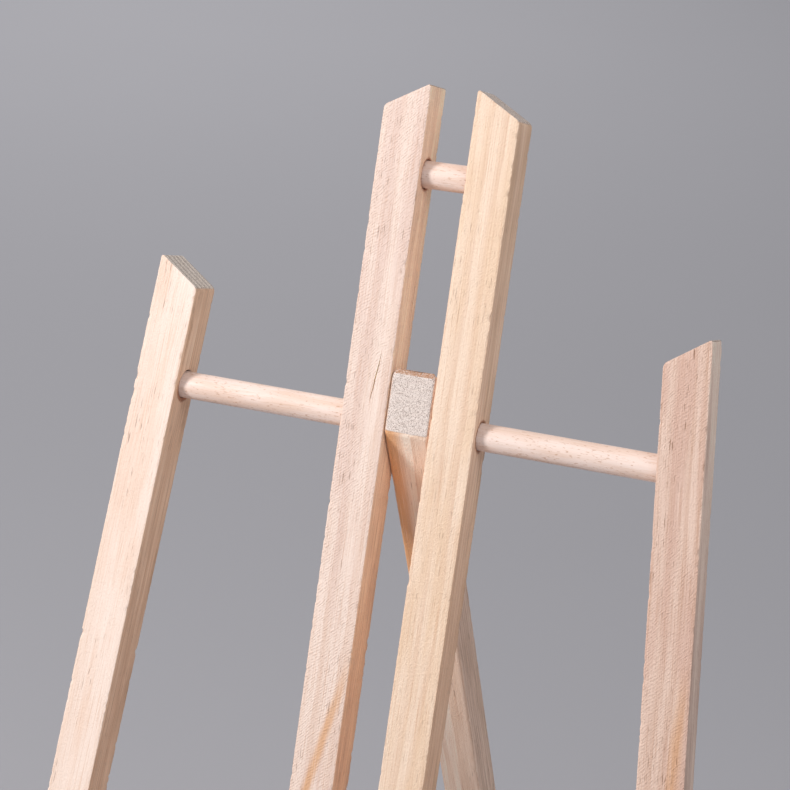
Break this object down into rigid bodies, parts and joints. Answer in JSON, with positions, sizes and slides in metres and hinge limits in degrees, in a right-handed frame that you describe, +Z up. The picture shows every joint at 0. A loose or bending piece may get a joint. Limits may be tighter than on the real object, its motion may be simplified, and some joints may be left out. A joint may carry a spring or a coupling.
{
  "type": "artist easel",
  "caption": "Free-standing wooden tabletop easel: slotted front frame of pine sticks on round dowels, splayed outer legs, folding rear leg and a canvas ledge with a lip.",
  "frame": {"origin": "middle of the footprint's bounding box, on the floor", "axes": "+Z up; -Y is the front, where the canvas stands; +X is to the right as seen from the front"},
  "size_m": [0.3452, 0.3578, 0.5897],
  "materials": {
    "pine": "raw, unfinished planed pine with eased arrises",
    "dowel_wood": "raw, unfinished round dowel",
    "steel": "plain zinc-plated steel"
  },
  "bodies": {
    "front_frame": {"left_outer_leg": "pine", "right_outer_leg": "pine", "left_centre_upright": "pine", "right_centre_upright": "pine", "canvas_ledge": "pine", "ledge_lip": "pine", "pivot_dowel": "dowel_wood", "lower_rung": "dowel_wood", "top_spacer_dowel": "dowel_wood", "left_spacer_brad": "steel", "left_upright_pivot_brad": "steel", "left_upright_rung_brad": "steel", "left_leg_pivot_brad": "steel", "left_leg_rung_brad": "steel", "right_spacer_brad": "steel", "right_upright_pivot_brad": "steel", "right_upright_rung_brad": "steel", "right_leg_pivot_brad": "steel", "right_leg_rung_brad": "steel", "left_outer_ledge_screw": "steel", "left_inner_ledge_screw": "steel", "right_outer_ledge_screw": "steel", "right_inner_ledge_screw": "steel", "left_lip_pin": "steel", "middle_lip_pin": "steel", "right_lip_pin": "steel"},
    "rear_leg": {"rear_leg": "pine"}
  },
  "joints": [
    {"name": "rear_leg_fold", "type": "hinge", "parent": "front_frame", "child": "rear_leg", "pos_m": [0, -0.00451, 0.45], "axis": [-1, 0, 0], "range_deg": [0, 38]}
  ]
}
